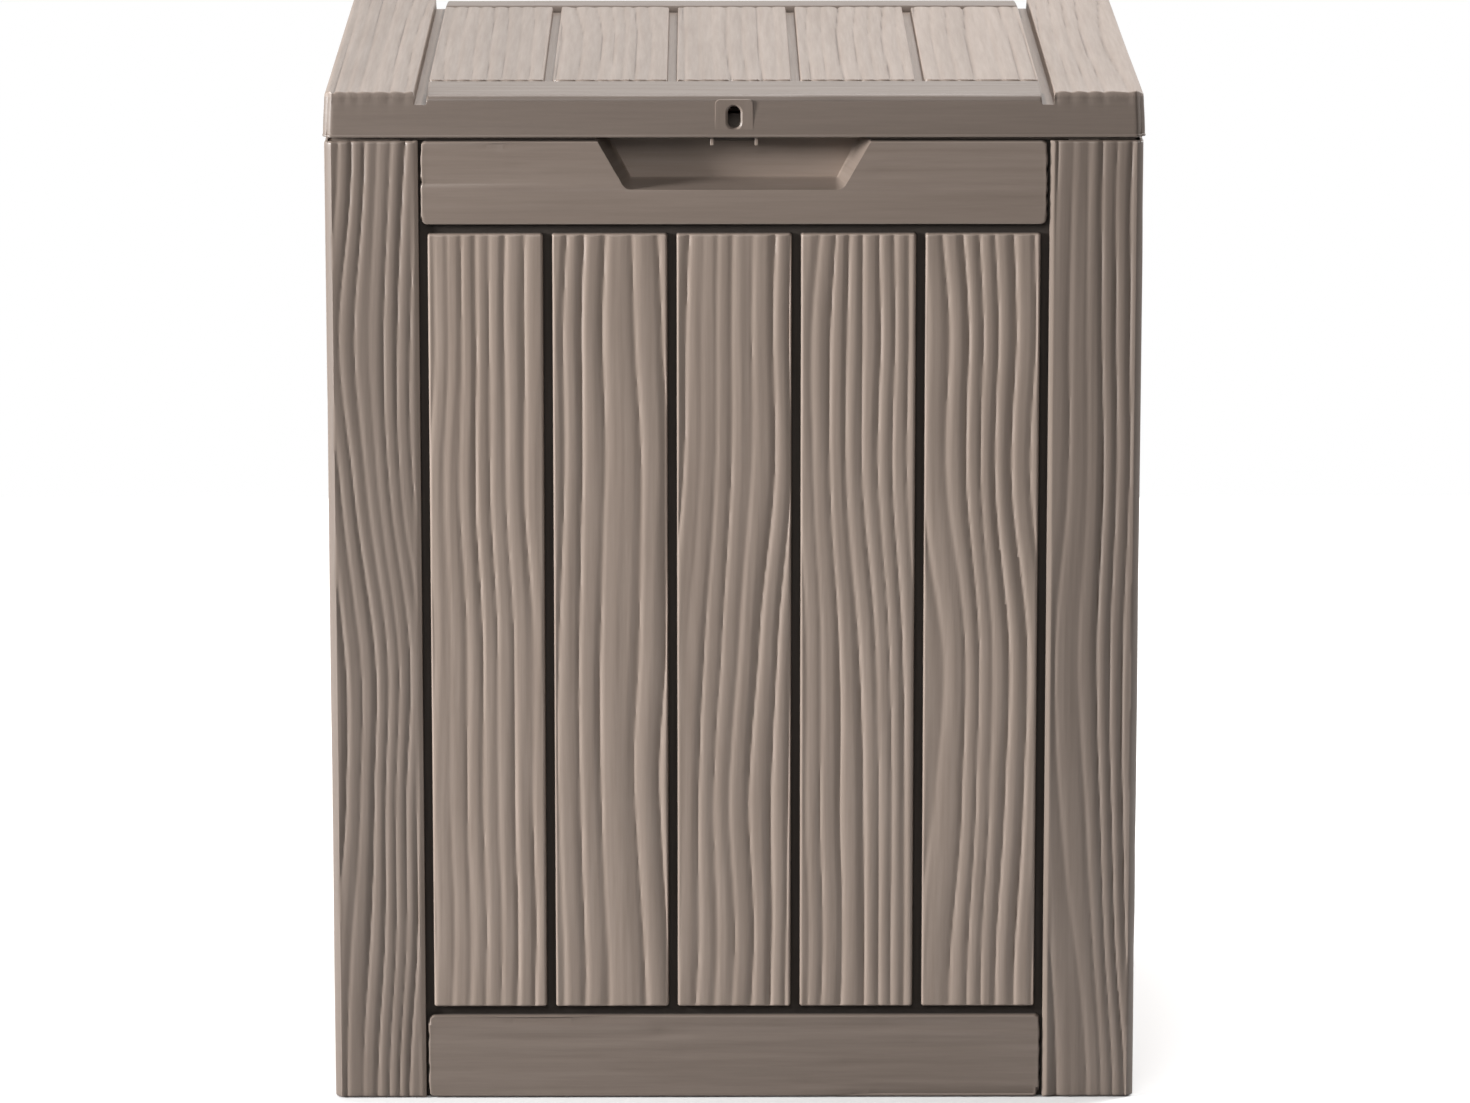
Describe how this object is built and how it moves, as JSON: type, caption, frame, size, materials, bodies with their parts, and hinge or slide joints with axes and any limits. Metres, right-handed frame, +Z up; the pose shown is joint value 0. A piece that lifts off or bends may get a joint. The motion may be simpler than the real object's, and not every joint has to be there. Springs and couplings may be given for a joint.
{
  "type": "deck storage box",
  "caption": "Upright resin garden storage box with plank-pattern walls between corner posts, hand recesses and a rear-hinged lid with a padlock slot.",
  "frame": {"origin": "middle of the footprint, on the ground", "axes": "+Z up; the front, with the padlock slot, faces -Y; +X is to the right seen from the front"},
  "size_m": [0.54, 0.43, 0.686],
  "materials": {
    "resin": "satin taupe resin with moulded wood grain",
    "inner_resin": "plain satin taupe resin",
    "pin_plastic": "dark brown plastic"
  },
  "bodies": {
    "box": {"floor_tray": "inner_resin", "front_panel": "resin", "lock_bracket": "inner_resin", "right_side_panel": "resin", "back_panel": "resin", "left_side_panel": "resin", "front_left_post": "resin", "front_right_post": "resin", "back_right_post": "resin", "back_left_post": "resin", "left_hinge_pin": "pin_plastic", "right_hinge_pin": "pin_plastic"},
    "lid": {"lid_shell": "resin", "lid_liner": "inner_resin"}
  },
  "joints": [
    {"name": "lid_hinge", "type": "hinge", "parent": "box", "child": "lid", "pos_m": [0, 0.2075, 0.647], "axis": [-1, 0, 0], "range_deg": [0, 100]}
  ]
}
